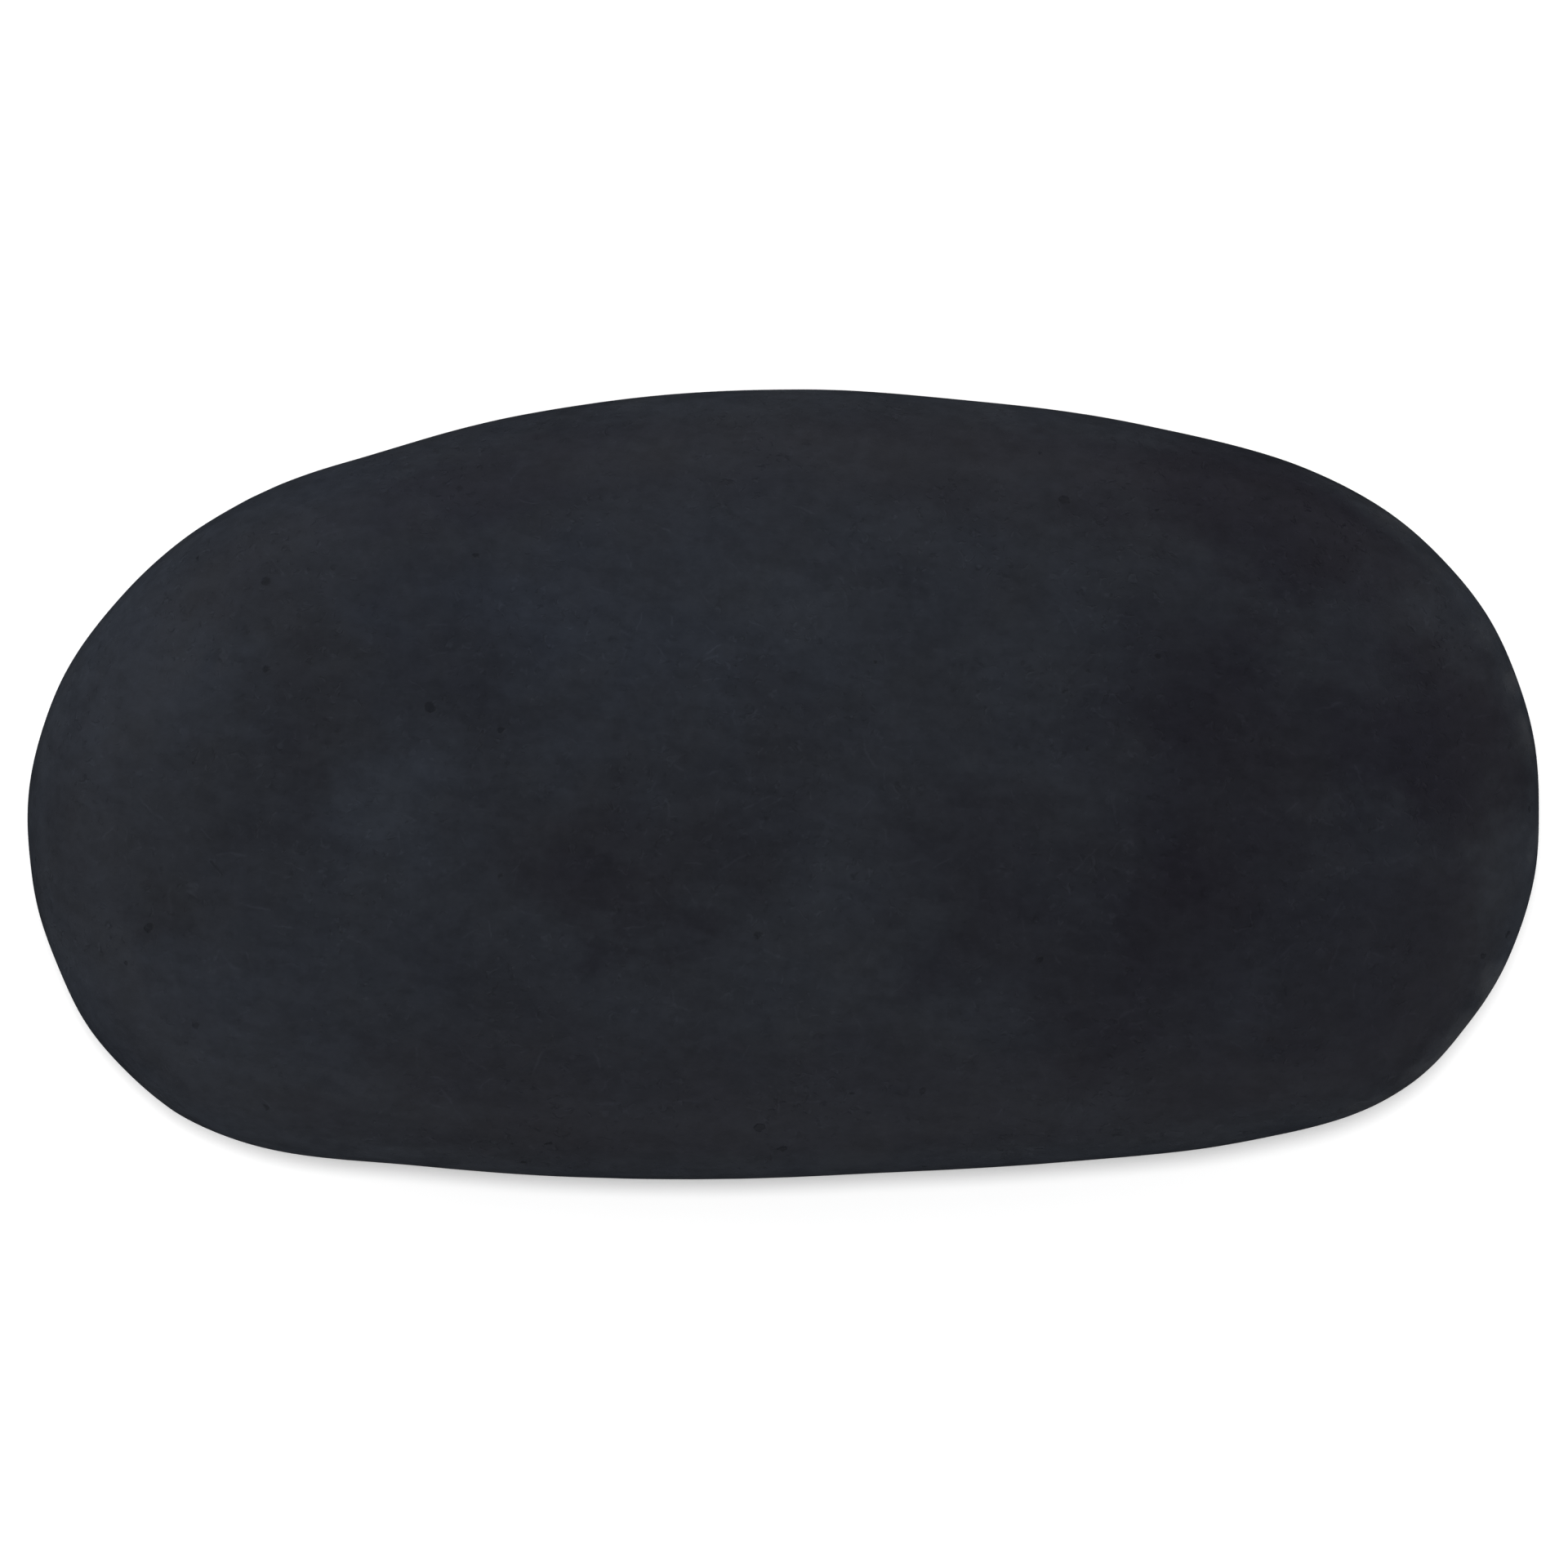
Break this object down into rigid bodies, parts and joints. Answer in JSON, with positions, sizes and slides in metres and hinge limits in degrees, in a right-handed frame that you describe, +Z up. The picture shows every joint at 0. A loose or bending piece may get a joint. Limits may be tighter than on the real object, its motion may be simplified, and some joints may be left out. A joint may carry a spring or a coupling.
{
  "type": "basalt massage stone",
  "caption": "Solid dark basalt massage stone: a smooth, flattened oval pebble with a low dome, a rounded rim and a flat patch underneath to rest on.",
  "frame": {"origin": "middle of the stone's box, on the surface that it rests on", "axes": "+X along the length, towards the end where the rim is a little higher; +Y across the width, towards the long side that bows out most evenly; +Z up, out of the domed face"},
  "size_m": [0.11, 0.0576, 0.025],
  "materials": {
    "basalt": "satin"
  },
  "bodies": {
    "root": {"basalt_stone": "basalt"}
  },
  "joints": []
}
